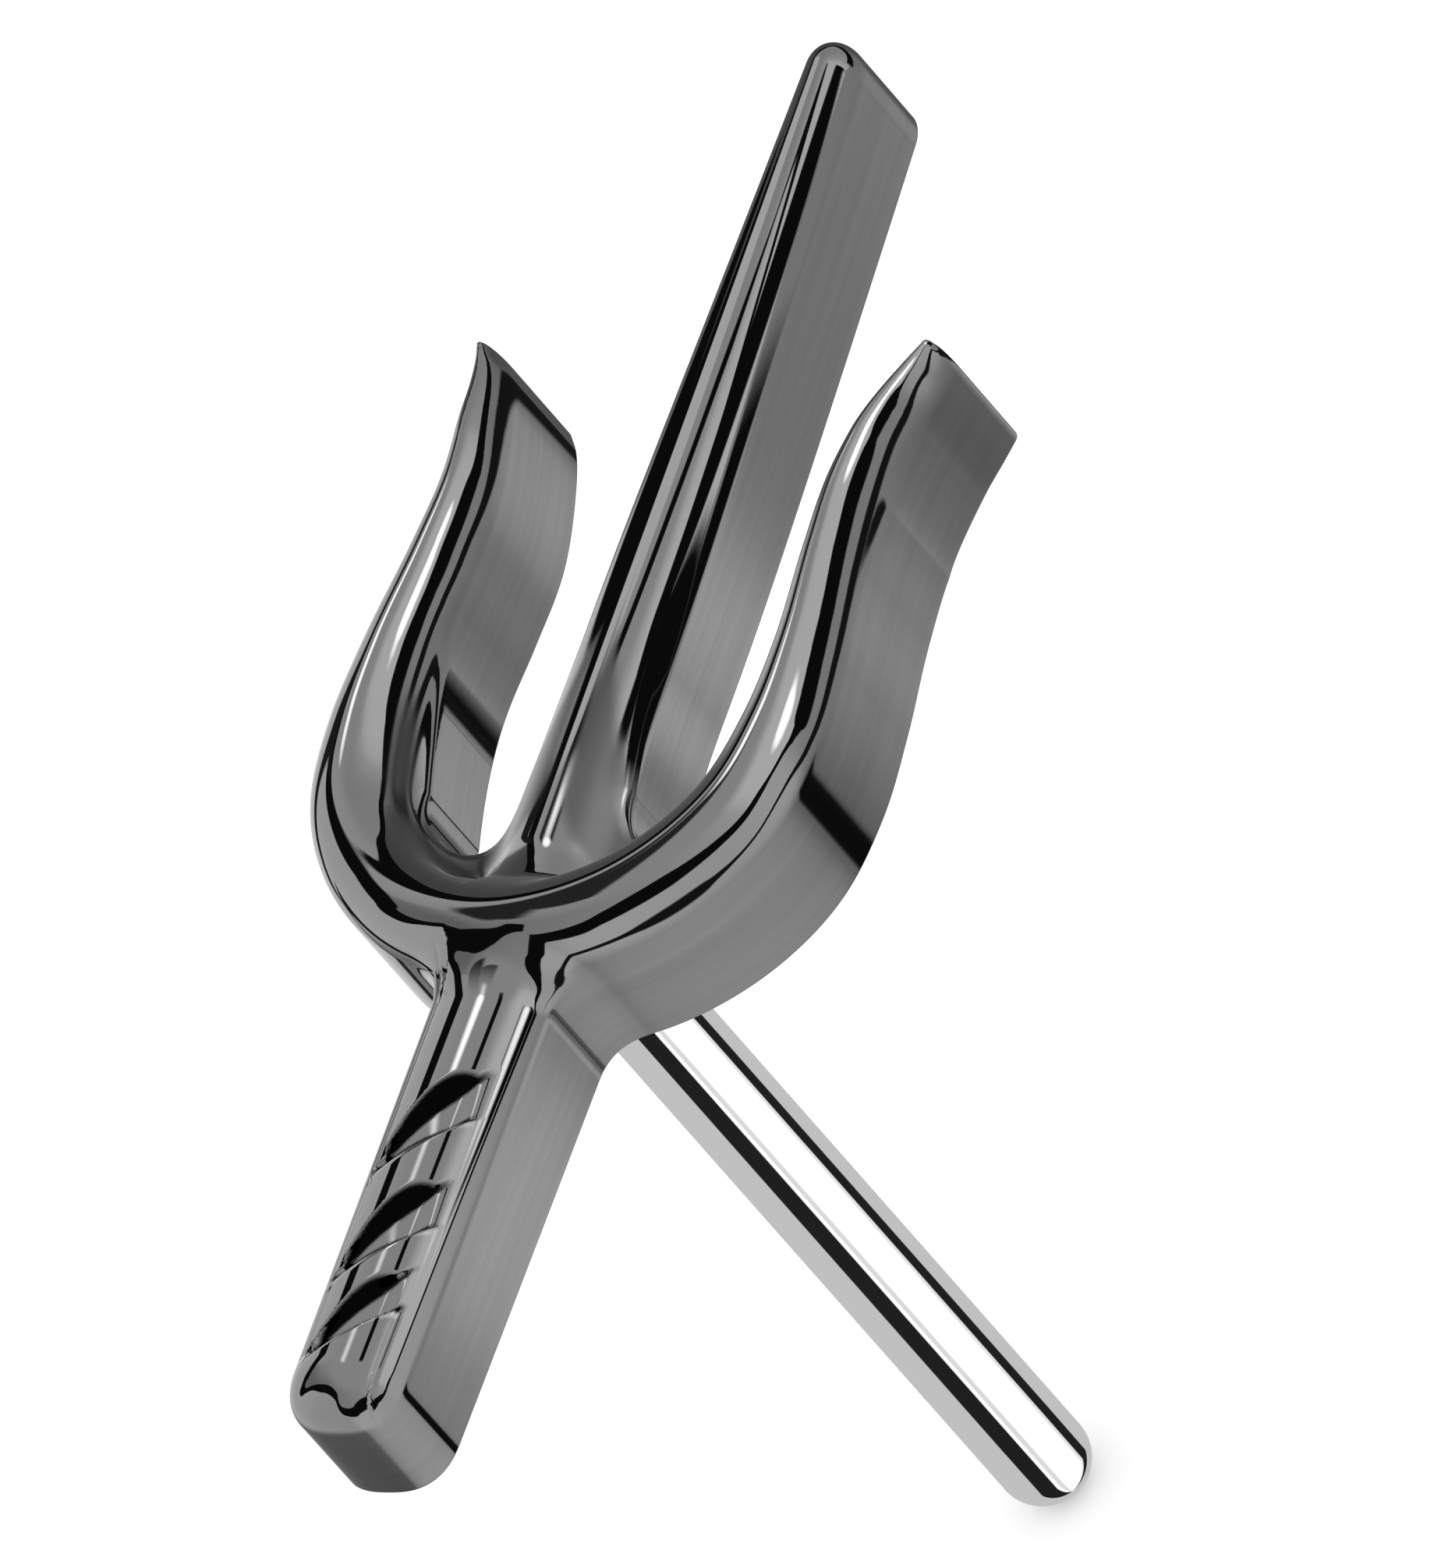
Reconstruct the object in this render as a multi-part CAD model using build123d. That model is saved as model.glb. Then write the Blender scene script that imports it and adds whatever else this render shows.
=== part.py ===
"""Trident stud earring: a cast trident head on a plain bright ear post. Millimetres.

Origin: centre of the post's root, on the flat back of the head.
+Z leaves the front of the head, +Y runs toward the prong tips, the post runs along -Z.
"""
import os
from math import atan2, cos, pi, sin

from build123d import *

# ---- ear post ---------------------------------------------------------------
POST_DIA = 1.0            # 18 gauge ear wire
POST_LENGTH = 9.8         # back of the head to the tip of the rounded end
SEAT_DEPTH = 0.10         # shallow counterbore in the back that centres the post
SEAT_GAP = 0.02           # clearance round the post in that counterbore
SPIGOT_DIA = 0.55         # turned-down end that enters the head
SPIGOT_LENGTH = 0.55
SOLDER_FILM = 0.05        # thickness of the solder between the spigot and its socket

# ---- heights above the flat back ---------------------------------------------
PRONG_WALL = 1.30         # upright side of the outer prongs and the arc
PRONG_CREST = 1.95        # ridge of the outer prongs and the arc
PRONG_TIP_CREST = 1.80    # ridge where an outer prong ends
SPIKE_WALL = 1.10         # upright side of the centre prong
SPIKE_CREST = 1.62        # ridge of the centre prong
HANDLE_WALL = 1.10
HANDLE_CREST = 1.60

# ---- right outer prong: centre line and half width, tip to the middle of the arc
PRONG_STATIONS = [
    # x, y, half width
    (2.69, 6.08, 0.065),
    (2.61, 5.86, 0.125),
    (2.50, 5.40, 0.185),
    (2.35, 4.40, 0.262),
    (2.39, 3.59, 0.295),
    (2.50, 2.48, 0.350),
    (2.50, 1.55, 0.425),
    (2.34, 0.74, 0.480),
    (1.98, 0.16, 0.500),
    (1.45, -0.30, 0.495),
    (0.78, -0.60, 0.485),
    (0.00, -0.72, 0.480),
]

# ---- centre prong -------------------------------------------------------------
SPIKE_STATIONS = [
    # y, half width
    (-0.60, 0.56),
    (3.00, 0.55),
    (9.55, 0.28),
]
SPIKE_TIP_STATIONS = [
    # y, half width, ridge
    (9.80, 0.20, 1.52),
    (9.92, 0.10, 1.26),
]

# ---- handle -------------------------------------------------------------------
HANDLE_TOP_Y = -0.60
HANDLE_END_Y = -6.42
HANDLE_TOP_HALF = 0.690
HANDLE_END_HALF = 0.655
HANDLE_CORNER = 0.46      # plan radius of the two corners at the end
HANDLE_SHOULDER = 0.80    # length over which the ridge falls toward the free end
HANDLE_FALL = [
    # distance from the free end, drop of the ridge
    (0.35, 0.09),
    (0.10, 0.24),
    (0.00, 0.40),
]
WEB_RADIUS = 0.32         # concave web between the handle and the arc
WEB_Y = -1.10             # where that web starts, under the arc
OVERLAP = 0.02            # how far a web reaches into the limb beside it
CROTCH_X = 1.24           # round-bottomed gap between the centre prong and an outer prong
CROTCH_Y = 1.17
CROTCH_RADIUS = 0.68
CROTCH_REACH = 1.12       # outer radius of the web that fills in below the gap
CROTCH_TOP = 1.00

# ---- rope twist on the handle ---------------------------------------------------
GROOVE_COUNT = 3
GROOVE_FIRST_Y = -3.10    # where the first groove crosses the middle of the handle
GROOVE_PITCH = 1.13
GROOVE_RISE = 0.60        # climb in y for each unit across, up toward +X
GROOVE_RADIUS = 0.34
GROOVE_DEPTH = 0.15
CUT_SPAN = 4.0            # longer than the head is wide, so that a cutter passes right through

# ---- run of the outer prong's centre line ------------------------------------------
TIP_HEADING = (0.25, -1)
ARC_HEADING = (-1, 0)
HEADING_PULL = [0.5, 1.5]
TIP_STEPS = 3             # stations over which the ridge rises to its full height


def d_section(x, y, heading, half, wall, crest):
    """Flat back, two upright sides and a half-elliptic top, square to the heading."""
    across = (-sin(heading), cos(heading), 0)
    ahead = (cos(heading), sin(heading), 0)
    plane = Plane(origin=(x, y, 0), x_dir=across, z_dir=ahead)
    foot = Polyline((-half, wall), (-half, 0), (half, 0), (half, wall))
    top = EllipticalCenterArc((0, wall), half, crest - wall, start_angle=0, arc_size=180)
    return plane * make_face(Curve() + [foot, top])


def outer_prong():
    """One S-curved outer prong with its half of the arc, ending on the middle plane."""
    points = [(x, y) for x, y, _ in PRONG_STATIONS]
    line = Spline(*points, tangents=[TIP_HEADING, ARC_HEADING], tangent_scalars=HEADING_PULL)
    sections = []
    last = len(PRONG_STATIONS) - 1
    for i, (x, y, half) in enumerate(PRONG_STATIONS):
        way = line.tangent_at(line.param_at_point((x, y, 0)))
        if i == last:
            way = Vector(*ARC_HEADING, 0)
        near_tip = max(0.0, 1 - i / TIP_STEPS)
        crest = PRONG_CREST + (PRONG_TIP_CREST - PRONG_CREST) * near_tip
        sections.append(d_section(x, y, atan2(way.Y, way.X), half, PRONG_WALL, crest))
    return loft(sections)


def centre_prong():
    """Straight tapering prong that runs from inside the arc to a rounded point."""
    shaft = [d_section(0, y, pi / 2, half, SPIKE_WALL, SPIKE_CREST) for y, half in SPIKE_STATIONS]
    tip = [d_section(0, y, pi / 2, half, SPIKE_WALL, crest) for y, half, crest in SPIKE_TIP_STATIONS]
    body = loft(shaft[-1:] + tip)
    for near, far in zip(shaft, shaft[1:]):
        body += loft([near, far])
    return body


def handle():
    """Straight grip with a domed top, rounded off at its free end."""
    shoulder = HANDLE_END_Y + HANDLE_SHOULDER
    full = d_section(0, shoulder, pi / 2, HANDLE_END_HALF, HANDLE_WALL, HANDLE_CREST)
    root = d_section(0, HANDLE_TOP_Y, pi / 2, HANDLE_TOP_HALF, HANDLE_WALL, HANDLE_CREST)
    falling = [
        d_section(0, HANDLE_END_Y + back, pi / 2, HANDLE_END_HALF, HANDLE_WALL, HANDLE_CREST - sink)
        for back, sink in HANDLE_FALL
    ]
    grip = loft([root, full]) + loft([full] + falling)
    width = 2 * HANDLE_TOP_HALF
    length = HANDLE_TOP_Y - HANDLE_END_Y
    outline = Pos(0, HANDLE_END_Y + length / 2) * Rectangle(width, length)
    outline = fillet(outline.vertices().group_by(Axis.Y)[0], HANDLE_CORNER)
    return grip & extrude(outline, CUT_SPAN)


def corner_web(x, y, turn, radius, wall):
    """Concave filler for an inside corner; `turn` faces the corner's open side."""
    block = Rectangle(radius, radius, align=(Align.MIN, Align.MIN))
    block -= Pos(radius, radius) * Circle(radius)
    return Pos(x, y) * Rot(0, 0, turn) * extrude(block, wall)


def crotch_web():
    """Web between the centre prong and the right outer prong, under the round-bottomed gap."""
    ring = Circle(CROTCH_REACH) - Circle(CROTCH_RADIUS)
    below = Pos(0, -CROTCH_REACH / 2) * Rectangle(2 * CROTCH_REACH, CROTCH_REACH)
    return Pos(CROTCH_X, CROTCH_Y) * extrude(ring & below, CROTCH_TOP)


def groove(y):
    """Round-bottomed cutter lying across the handle's top at the angle of the twist."""
    angle = atan2(GROOVE_RISE, 1) * 180 / pi
    cutter = Rot(0, 90, 0) * Cylinder(GROOVE_RADIUS, CUT_SPAN)
    return Pos(0, y, HANDLE_CREST - GROOVE_DEPTH + GROOVE_RADIUS) * Rot(0, 0, angle) * cutter


def upright_rod(radius, low, high):
    """Round rod on the post's axis between two heights."""
    rod = Cylinder(radius, high - low, align=(Align.CENTER, Align.CENTER, Align.MIN))
    return Pos(0, 0, low) * rod


def solder_space():
    """Blind socket round the spigot, above the seat."""
    return upright_rod(SPIGOT_DIA / 2 + SOLDER_FILM, SEAT_DEPTH, SEAT_DEPTH + SPIGOT_LENGTH + SOLDER_FILM)


def spigot():
    """Turned-down end of the post."""
    return upright_rod(SPIGOT_DIA / 2, SEAT_DEPTH, SEAT_DEPTH + SPIGOT_LENGTH)


def trident_head():
    """One casting: two outer prongs, centre prong, handle, webs, twist grooves and post socket."""
    right = outer_prong()
    body = right + mirror(right, about=Plane.YZ) + centre_prong()
    grip = handle()
    for i in range(GROOVE_COUNT):
        grip -= groove(GROOVE_FIRST_Y - i * GROOVE_PITCH)
    body += grip
    for web in (corner_web(HANDLE_TOP_HALF - OVERLAP, WEB_Y, -90, WEB_RADIUS, HANDLE_WALL), crotch_web()):
        body += web
        body += mirror(web, about=Plane.YZ)
    seat = upright_rod(POST_DIA / 2 + SEAT_GAP, 0, SEAT_DEPTH)
    return body - seat - solder_space()


def ear_post():
    """Bright wire with a hemispherical free end and a turned-down spigot."""
    radius = POST_DIA / 2
    end = Pos(0, 0, radius - POST_LENGTH) * Sphere(radius)
    return upright_rod(radius, radius - POST_LENGTH, SEAT_DEPTH) + end + spigot()


def solder_film():
    """Thin cup of solder that fills the gap between the spigot and the blind socket."""
    return solder_space() - spigot()


NODES = {
    "trident_head": trident_head,
    "ear_post": ear_post,
    "solder_film": solder_film,
}

os.makedirs("parts", exist_ok=True)
for name, make in NODES.items():
    export_step(make(), f"parts/{name}.step")
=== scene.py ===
"""Trident stud earring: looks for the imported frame. Metres, in the frame's own axes."""
from math import cos, pi, radians, sin, sqrt
from types import SimpleNamespace

import bpy
import numpy as np
from mathutils import Matrix, Vector

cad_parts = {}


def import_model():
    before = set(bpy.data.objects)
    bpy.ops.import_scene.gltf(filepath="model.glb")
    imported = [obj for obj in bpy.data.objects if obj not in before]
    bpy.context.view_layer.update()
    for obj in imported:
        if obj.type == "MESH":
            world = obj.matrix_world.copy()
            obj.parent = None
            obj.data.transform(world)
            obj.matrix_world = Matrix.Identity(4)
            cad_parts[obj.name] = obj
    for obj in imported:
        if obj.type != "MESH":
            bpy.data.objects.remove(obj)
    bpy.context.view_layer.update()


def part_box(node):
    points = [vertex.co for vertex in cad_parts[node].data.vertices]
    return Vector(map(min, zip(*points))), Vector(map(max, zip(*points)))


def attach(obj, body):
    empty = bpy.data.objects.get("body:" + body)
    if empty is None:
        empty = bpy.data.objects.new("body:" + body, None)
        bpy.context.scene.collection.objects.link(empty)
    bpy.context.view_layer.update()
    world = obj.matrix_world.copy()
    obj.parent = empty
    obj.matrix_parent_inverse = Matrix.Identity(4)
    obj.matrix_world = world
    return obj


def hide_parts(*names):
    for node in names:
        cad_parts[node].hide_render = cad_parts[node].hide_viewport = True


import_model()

MM = 0.001

# ---- heights above the flat back, mm ------------------------------------------------
PRONG_WALL, PRONG_CREST = 1.28, 1.95
SPIKE_WALL, SPIKE_RISE = 1.16, 0.50      # upright side at the tip, and the dome above it
SPIKE_SINK, SINK_LENGTH = 0.26, 4.5      # the centre prong lies lower toward its root
HANDLE_WALL, HANDLE_CREST = 1.06, 1.60

# ---- right outer prong, mm: from the tip to the middle of the arc ---------------------
PRONG_STATIONS = [
    # x, y, half width
    (2.715, 6.06, 0.095),
    (2.625, 5.84, 0.145),
    (2.500, 5.40, 0.185),
    (2.352, 4.45, 0.258),
    (2.390, 3.59, 0.295),
    (2.500, 2.48, 0.350),
    (2.500, 1.55, 0.425),
    (2.340, 0.74, 0.480),
    (1.980, 0.16, 0.500),
    (1.450, -0.30, 0.495),
    (0.780, -0.60, 0.485),
    (0.000, -0.72, 0.480),
]
SAMPLES_PER_SPAN = 42
GUIDE_STEP = 12           # every twelfth sample guides the search for the nearest span
GUIDE_MARGIN = 6          # samples searched beyond one guide step
TIP_FALL = 0.16           # how far the ridge of an outer prong drops at its tip
TIP_FALL_SPAN = (4.9, 6.1)

# ---- centre prong, mm -----------------------------------------------------------------
SPIKE_ROOT_Y, SPIKE_ROOT_HALF = -0.60, 0.565
TAPER_START, TAPER_EASE, TAPER = 3.6, 1.2, 0.0475     # where it starts to narrow, and by how much per mm
SPIKE_SHOULDER_Y = 9.55
SPIKE_TIP_Y = 9.97
SPIKE_LEAN, LEAN_START = 0.0010, 2.5     # the cast prong bends very slightly toward -X

# ---- crotch webs, mm: round-bottomed gap on each side of the centre prong ---------------
WEB_X, WEB_Y, WEB_RADIUS, WEB_REACH = 1.24, 1.17, 0.68, 1.12
WEB_FLARE = 0.30          # how fast the gap widens above its round bottom
WEB_TOP = 1.02
WEB_LIP, WEB_BLEND = 0.14, 0.42

# ---- handle, mm -------------------------------------------------------------------------
HANDLE_TOP_Y, HANDLE_END_Y = -0.60, -6.42
HANDLE_TOP_HALF, HANDLE_END_HALF = 0.690, 0.655
HANDLE_NOSE = 0.62        # length over which the free end rounds off
NOSE_POWER = 2.7          # squareness of that rounding in plan

# ---- rope twist on the handle, mm ---------------------------------------------------------
# A groove falls steeply, runs on as a shallow leaf, then rises steeply to the next strand.
GROOVES = [
    # y on the handle's middle line, length along the handle
    (-2.65, 0.80),
    (-3.95, 0.76),
    (-5.03, 0.60),
]
GROOVE_DEPTH = 0.15
FALL_END, LEAF_END = 0.47, 0.74      # shares of the length where the fall and the leaf end
FALL_SHARE = 0.82                    # share of the depth reached at the end of the fall
FALL_POWER, RISE_POWER = 0.8, 1.2    # roundness of the two steep stretches
LEAST_FALL, LEAST_LEAF = 0.10, 0.04  # least lengths of the fall and the leaf
# how each line of the groove crosses the handle: slope, bend
BRINK = (1.35, -1.90)
FALL_FOOT = (1.20, 0.00)
LEAF_EDGE = (0.65, 0.00)
NEXT_STRAND = (0.80, 0.40)
TWIST_FADE = (0.35, 0.88)            # shares of the half width over which the twist fades

# painted reflections on the twist: dark paint on the steep side, and thin painted dark and pale lines along
# the leaf's edge and the next strand
PAINTED_DARK_BRINK, PAINTED_DARK_FOOT = (0.00, 0.06), (-0.02, 0.03)
PAINTED_REFLECTION_FADE = (0.62, 0.80)
# each painted line: offset in y, solid half width, faded half width, strength (negative paints a pale
# highlight line)
DARK_LINE = (0.020, 0.014, 0.042, 1.0)
PALE_LINE = (-0.065, 0.014, 0.046, -0.9)
STRAND_LINE = (0.000, 0.018, 0.050, 0.7)

# painted shade and more roughness in the crotch webs: distance from the web in plan, and heights
RECESS_EDGE = (-0.06, 0.10)
RECESS_FLOOR, RECESS_CEILING = (0.80, 0.95), (1.45, 1.70)

# ---- blends and mesh, mm --------------------------------------------------------------------
CREASE_BLEND = 0.08
GRIP_BLEND = 0.42
BACK_EDGE = 0.03          # rounding where the walls meet the flat back
BACK_EDGE_TURNS = (pi / 6, pi / 3, pi / 2)
CELL = 0.034              # mesh size of the domed top
NET_FLOOR = 0.84          # the walls are upright and straight below this height
WALL_ROWS = 5
PULL_ROUNDS, PULL_LIMIT = 4, 0.02    # how the net is drawn onto the true surface
# grid lines: place, spacing up to the next place
GRID_X = [(-3.12, 0.034), (-2.0, 0.042), (-0.86, 0.027), (0.86, 0.042), (2.0, 0.034), (3.12, 0)]
GRID_Y = [
    (-6.60, 0.026), (-2.2, 0.036), (1.6, 0.050), (5.2, 0.040), (6.4, 0.060), (9.0, 0.034), (10.06, 0),
]
GRID_Z = [(NET_FLOOR - CELL / 2, CELL), (2.10, 0)]

# ---- ear post, mm ------------------------------------------------------------------------------
POST_TOP = 0.08           # how far the post reaches into its seat
POST_FIRST_ROW, POST_ROWS = -0.5, 12
POST_END_ROWS = 32
POST_SIDES = 192

# ---- materials ---------------------------------------------------------------------------------
METAL_GREY, METAL_TINT = 0.30, (1.0, 0.985, 0.995)
# grey of the painted dark reflections on the twist's steep sides and dark lines
PAINTED_DARK_GREY = 0.003
RECESS_PAINTED_SHADE = 0.45        # painted shade: share of the brightness taken off in the crotch webs
GRAIN_SCALE, GRAIN_DETAIL, GRAIN_CONTRAST = (180, 180, 9000), 3.0, 0.10
UPRIGHT = (0.02, 0.25)    # z of the normal: satin up to the first, polished from the second
POLISH, SATIN, RECESS_HAZE = 0.02, 0.035, 0.24
WIRE_COLOUR, WIRE_POLISH = (0.97, 0.97, 0.975, 1), 0.04
SOLDER_SCALE, SOLDER_DETAIL = (4000, 4000, 4000), 2.0
SOLDER_GREY, SOLDER_MOTTLE = 0.45, 0.2
SOLDER_ROUGH, SOLDER_ROUGH_MOTTLE = 0.3, 0.3
FLOOR_COLOUR = (0.93, 0.93, 0.93, 1)

# ---- the head's surroundings -------------------------------------------------------------------
# Azimuths and heights are in degrees; brightness of a white card is 1.
# A window is (from, to, softness), an edge is (begins, ends), an oval is (azimuth, half, height, half).
DARK = 0.010
LIGHT_RANGE, ANGLE_RANGE, HALF_RANGE, ARCH_RANGE = (0, 1.5), (-60, 60), (0, 15), (0, 80)
# brightness low down, where the upright walls of the centre prong and the handle look
LOW_RING = [
    (-180, 0.30), (-140, 0.22), (-102, 0.20), (-96, 0.45), (-86, 0.70), (-60, 0.85), (0, 0.80), (18, 0.55),
    (24, 0.70), (28, 0.98), (33, 0.55), (39, 0.50), (46, 0.92), (53, 0.50), (62, 0.62), (74, 0.72),
    (90, 0.30), (108, 0.14), (132, 0.14), (146, 0.60), (160, 0.75), (180, 0.30),
]
# the same as seen by the two outer prongs and the arc
LOW_RING_ARMS = [
    (-180, 0.30), (-140, 0.30), (-102, 0.55), (-90, 0.70), (-20, 0.72), (4, 0.62), (12, 0.50), (26, 0.30),
    (34, 0.40), (46, 0.52), (60, 0.72), (74, 0.76), (86, 0.50), (98, 0.22), (132, 0.14), (146, 0.60),
    (160, 0.75), (180, 0.30),
]
# brightness just below the dark ribbon
HIGH_RING = [
    (-180, 0.90), (-150, 0.95), (-104, 0.80), (-90, 1.00), (-30, 0.90), (14, 0.95), (26, 0.60), (50, 0.55),
    (80, 0.40), (96, 0.16), (130, 0.16), (144, 0.25), (149, 1.00), (160, 0.95), (180, 0.90),
]
RING_TURN = (-38, -20)    # heights between the low ring and the high one
# brightness just above the dark ribbon
LOW_SKY = [
    (-180, 0.65), (-150, 0.35), (-120, 0.50), (-60, 0.70), (-15, 0.90), (6, 1.25), (46, 1.20), (62, 0.80),
    (90, 0.62), (115, 0.75), (140, 0.80), (160, 0.80), (180, 0.65),
]
SKY_TURN, HIGH_SKY = (42, 62), 0.72
# the dark ribbon's middle and half thickness
RIBBON_HEIGHT = [
    (-180, 36), (-165, 29), (-155, 22), (-146, 32), (-132, 42), (-116, 38), (-104, 16), (-92, 15), (-80, 22),
    (-62, 27), (-45, 26), (-30, 22), (-12, 17), (4, 16), (18, 10), (26, 1), (38, -1), (46, -5), (54, -9),
    (70, -11), (84, -6), (92, -1), (102, 14), (110, 21), (120, 29), (132, 37), (150, 38), (180, 36),
]
RIBBON_HALF = [
    (-180, 6), (-158, 7), (-132, 5), (-104, 7), (-80, 10), (-62, 11), (-45, 9), (-30, 6.5), (-12, 4.5),
    (4, 3.5), (16, 2.0), (24, 5), (30, 10), (40, 9), (50, 6), (70, 4), (90, 4), (108, 6), (140, 6), (180, 6),
]
RIBBON_EDGE = (0.90, 1.10)
HORIZON_EDGE = (-1, 1)
RIBBON_GAP = (22, 60, 2.0)           # the centre prong doesn't see the ribbon here
# thinner dark streak that crosses the low ring
STREAK_HEIGHT = [
    (-180, -18), (-150, -30), (-95, -19), (-55, -15), (-20, -14), (10, -11), (30, -21), (60, -25), (80, -27),
    (98, -35), (120, -60), (150, -60), (180, -18),
]
STREAK_HALF = [
    (-180, 8), (-155, 2), (-85, 2.5), (-68, 6), (-52, 8), (-36, 4), (-15, 1.6), (10, 1.6), (32, 2.8),
    (60, 3.5), (98, 4.5), (150, 3), (180, 8),
]
STREAK_EDGE, STREAK_LIGHT = (0.75, 1.2), 0.02
# dark line high up, seen along the top of the centre prong
ARCH_HEIGHT = [(-180, 20), (50, 30), (61, 45), (75, 55), (90, 60.5), (107, 63), (122, 60), (180, 20)]
ARCH_EDGE = (1.7, 2.7)

# places on the object that see their own cards, mm
MIDDLE_LIMB = (0.85, 0.95)           # x of the edge of the centre prong and the handle
SPIKE_BEGINS, GRIP_BEGINS = (0.9, 1.5), (-1.6, -1.2)
LEFT_HALF = (-0.1, 0.1)

# black bars in the upright walls
RIGHT_BAR, RIGHT_BAR_END = (19.5, 30, 1.0), (3.0, 3.6)
LEFT_BAR, LEFT_BAR_SPAN = (53, 62, 1.0), (1.0, 2.6, 0.2)
HANDLE_BAR = (8, 18, 1.0)
BAR_TOP = (-33, -29)
# black bar that slants down the left of the arms: tilt, azimuth at the horizon, edge, heights
SLANT_TILT, SLANT_AZIMUTH, SLANT_EDGE = 0.50, 165, (2.5, 4.0)
SLANT_SPAN, SLANT_LIGHT = (-24, 40, 3), 0.03

# overhead flags: x of the direction, heights
WEST_FLAG, WEST_FLAG_BOTTOM = (-0.40, -0.30), (52, 55)
TOP_FLAG, TOP_FLAG_BOTTOM = (-0.12, -0.02), (62, 65)
OVERHEAD_LIGHT = 0.05

# cards and flags of the centre prong
SPIKE_CARD, SPIKE_CARD_LIGHT = (122, 30, 47, 11), 1.15
RIGHT_FLAG, RIGHT_FLAG_TILT = (45, 5.5, 20, 25), 0.18
LEFT_FLAG, LEFT_FLAG_TILT = (145, 6.5, 17, 20), 0.10
EDGE_FLAG, EDGE_FLAG_SPAN = (20, 36, 1.5), (-32, 34, 3)
FOOT_FLAG, FOOT_FLAG_SPAN = (34, 62, 2.0), (-30, -6, 2)
FOOT_FLAG_X = (0.35, 0.45)           # on the object, mm

# cards and flags of the handle: x and y of the direction, heights
SLIT, SLIT_AHEAD, SLIT_BOTTOM = (0.17, 0.27, 0.012), (0.20, 0.24), (50, 52)
GLEAM, GLEAM_AHEAD, GLEAM_BOTTOM = (-0.27, -0.18, 0.05), (0.12, 0.60, 0.06), (40, 50)
GLEAM_LIGHT = 2.1
HANDLE_FLAG = (27, 8, 19, 14)
OVAL_EDGE = (0.82, 1.18)

# soft lights: direction, full inside (degrees), gone outside (degrees), brightness
LIGHTS = [
    ((-0.227, 0.448, 0.865), 1, 8, 2.6),
    ((0.80, 0.42, 0.40), 1, 9, 3.0),
]

# ---- the post's surroundings: azimuth from, to (degrees), brightness -----------------------------
POST_RING = [
    (-100, -60, 0.014),
    (-60, 26, 1.05),
    (-52, -42, 0.72),
    (26, 33, 0.78),
    (33, 58, 0.014),
]
# the same nearer the horizon, where only low views from the sides and the back look
POST_HIGH_RING = [
    (-156, -122, 1.05),
    (-114, -100, 0.014),
    (-48, 12, 1.05),
    (30, 48, 0.014),
    (100, 138, 1.05),
    (148, 164, 0.014),
]
POST_GREY, POST_CARD_SOFTNESS = 0.54, 1.0
POST_RING_TURN = (-34, -28)

# ---- stage -----------------------------------------------------------------------------------------
HEAD_TENT_RADIUS, POST_TENT_RADIUS = 30, 29          # mm
TENT_SEGMENTS, TENT_RINGS = 96, 48
FLOOR_SIZE = 4.0          # m
WORLD_STRENGTH = 1.35

# camera axes in the object's frame: image right and image up
CAMERA_RIGHT = Vector((0.8174, 0.3160, -0.4817))
CAMERA_UP = Vector((0.0, 0.8361, 0.5486))
FRAME_HEIGHT = 15.565     # mm of the object that the tall side of the image spans
FRAME_SHIFT = (1.254, 1.645)
LENS = 1400               # a very long lens, so that parallel edges stay parallel
CLIP_RANGE = (0.01, 10)


# ==== shape of the head ==============================================================================
def smoothstep(low, high, x):
    """0 below low, 1 above high, smooth between."""
    t = np.clip((x - low) / (high - low), 0, 1)
    return t * t * (3 - 2 * t)


def smooth_min(a, b, k):
    """Union of two signed fields with a round blend of width k."""
    t = np.clip(0.5 + 0.5 * (b - a) / k, 0, 1)
    return b + (a - b) * t - k * t * (1 - t)


def spline_samples(points):
    """Dense centripetal Catmull-Rom samples through the stations (x, y, half width)."""
    p = np.array(points, float)
    mirrored = p[-2] * [-1, 1, 1]
    p = np.vstack([2 * p[0] - p[1], p, mirrored])
    rows = []
    for i in range(1, len(p) - 2):
        knots = [0.0]
        for j in range(3):
            knots.append(knots[-1] + sqrt(np.hypot(*(p[i + j][:2] - p[i + j - 1][:2]))))
        t = np.linspace(knots[1], knots[2], SAMPLES_PER_SPAN, endpoint=False)[:, None]
        a = [
            ((knots[j + 1] - t) * p[i + j - 1] + (t - knots[j]) * p[i + j]) / (knots[j + 1] - knots[j])
            for j in range(3)
        ]
        b = [
            ((knots[j + 2] - t) * a[j] + (t - knots[j]) * a[j + 1]) / (knots[j + 2] - knots[j])
            for j in range(2)
        ]
        rows.append(((knots[2] - t) * b[0] + (t - knots[1]) * b[1]) / (knots[2] - knots[1]))
    rows.append(p[-2][None, :])
    return np.vstack(rows)


PRONG_LINE = spline_samples(PRONG_STATIONS)


def prong_plan(x, y):
    """Distance from the outer prong's centre line over its half width, and the half width."""
    px, py = np.abs(x)[:, None], y[:, None]
    guide = PRONG_LINE[::GUIDE_STEP]
    near = (np.hypot(px - guide[:, 0], py - guide[:, 1]) / guide[:, 2]).argmin(axis=1) * GUIDE_STEP
    reach = GUIDE_STEP + GUIDE_MARGIN
    first = np.clip(near - reach // 2, 0, len(PRONG_LINE) - 1 - reach)
    span = first[:, None] + np.arange(reach)
    a, b = PRONG_LINE[span], PRONG_LINE[span + 1]
    dx, dy = b[..., 0] - a[..., 0], b[..., 1] - a[..., 1]
    t = np.clip(((px - a[..., 0]) * dx + (py - a[..., 1]) * dy) / (dx * dx + dy * dy), 0, 1)
    far = np.hypot(px - a[..., 0] - t * dx, py - a[..., 1] - t * dy)
    half = a[..., 2] + t * (b[..., 2] - a[..., 2])
    ratio = far / half
    best = ratio.argmin(axis=1)
    rows = np.arange(len(x))
    return ratio[rows, best], half[rows, best]


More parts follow.
